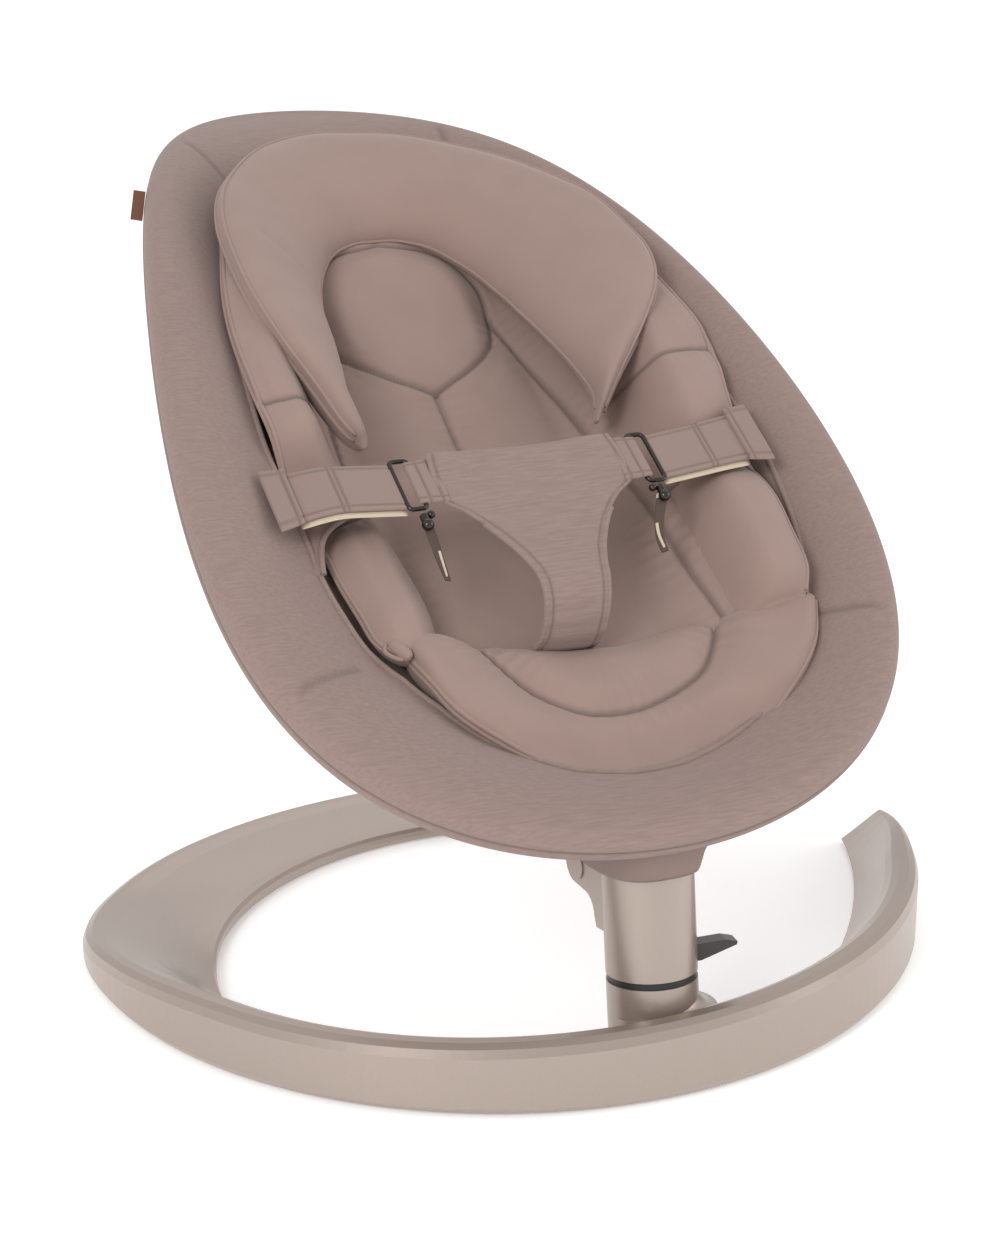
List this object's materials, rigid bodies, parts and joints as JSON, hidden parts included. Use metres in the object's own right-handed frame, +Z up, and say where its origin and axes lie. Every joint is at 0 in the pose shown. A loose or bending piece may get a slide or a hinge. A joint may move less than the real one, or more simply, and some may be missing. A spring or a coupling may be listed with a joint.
{
  "type": "bouncer seat",
  "caption": "Baby bouncer seat: a padded egg-shaped sling that sways on a leaning column above an open floor ring, with a harness, sway lock and recline.",
  "frame": {"origin": "floor level, under the middle of the object's width and length", "axes": "+Z up; +Y from the foot end, where the column stands, to the head end; +X to the side of the sway lock lever"},
  "size_m": [0.52, 0.6537, 0.4507],
  "materials": {
    "champagne": "satin champagne metallic",
    "foot_rubber": "matte",
    "steel": "turned and zinc plated",
    "black_plastic": "matte",
    "bearing_plastic": "smooth",
    "grey_plastic": "fine spark texture",
    "grey_cast": "die cast",
    "frame_paint": "powder coat",
    "knit": "slub knit with horizontal streaks",
    "under_fabric": "plain knit",
    "insert_fabric": "soft padded jersey",
    "strap_fabric": "woven, stitched edges",
    "hook_loop": "hook and loop tape",
    "dark_wire": "gloss black",
    "webbing": "dark webbing with tan edges",
    "leather": "matte"
  },
  "bodies": {
    "base": {"base_ring": "champagne", "foot_pads": "foot_rubber", "spindle": "steel", "spindle_bolt": "steel", "gap_ring": "black_plastic", "lock_plate": "steel", "spindle_nut": "steel"},
    "column_body": {"column": "champagne", "lower_bearing": "bearing_plastic", "upper_bearing": "bearing_plastic", "lock_carrier": "black_plastic", "lever_pin": "steel", "recline_axle": "steel", "axle_caps": "champagne"},
    "lever_body": {"lock_lever": "grey_plastic"},
    "bolt_body": {"lock_bolt": "steel"},
    "button_body": {"recline_button": "grey_plastic", "release_tongue": "steel"},
    "seat_body": {"saddle": "grey_cast", "recline_bush": "bearing_plastic", "saddle_screws": "steel", "frame_tube": "frame_paint", "spine_rails": "frame_paint", "cross_bow": "frame_paint", "rim_cover": "knit", "sling": "knit", "under_cover": "under_fabric", "back_pad": "insert_fabric", "head_pad": "insert_fabric", "bolster_left": "insert_fabric", "bolster_right": "insert_fabric", "front_pad": "insert_fabric", "head_pillow": "insert_fabric", "insert_loops": "insert_fabric", "crotch_panel": "knit", "strap_left": "strap_fabric", "strap_right": "strap_fabric", "strap_tab_left": "hook_loop", "strap_tab_right": "hook_loop", "buckle_left": "dark_wire", "buckle_right": "dark_wire", "swivel_left": "dark_wire", "swivel_right": "dark_wire", "tether_left": "webbing", "tether_right": "webbing", "side_tag": "leather"}
  },
  "joints": [
    {"name": "sway", "type": "hinge", "parent": "base", "child": "column_body", "pos_m": [0, -0.29, 0], "axis": [0, 0.1271, 0.9919], "range_deg": [-28, 28]},
    {"name": "recline", "type": "hinge", "parent": "column_body", "child": "seat_body", "pos_m": [0, -0.23436, 0.10377], "axis": [1, 0, 0], "range_deg": [-16, 0]},
    {"name": "lever_lift", "type": "hinge", "parent": "column_body", "child": "lever_body", "pos_m": [0.02152, -0.28615, 0.06605], "axis": [-0.2079, -0.9702, 0.1243], "range_deg": [0, 20]},
    {"name": "bolt_drop", "type": "slide", "parent": "column_body", "child": "bolt_body", "axis": [0, -0.1271, -0.9919], "range_m": [0, 0.0024]},
    {"name": "button_press", "type": "slide", "parent": "column_body", "child": "button_body", "axis": [0, -0.9919, 0.1271], "range_m": [0, 0.0025], "stiffness_N_per_m": 600, "springref_m": -0.001}
  ],
  "couplings": [
    {"joint": "bolt_drop", "follows": "lever_lift", "m_per_rad": 0.0065}
  ]
}
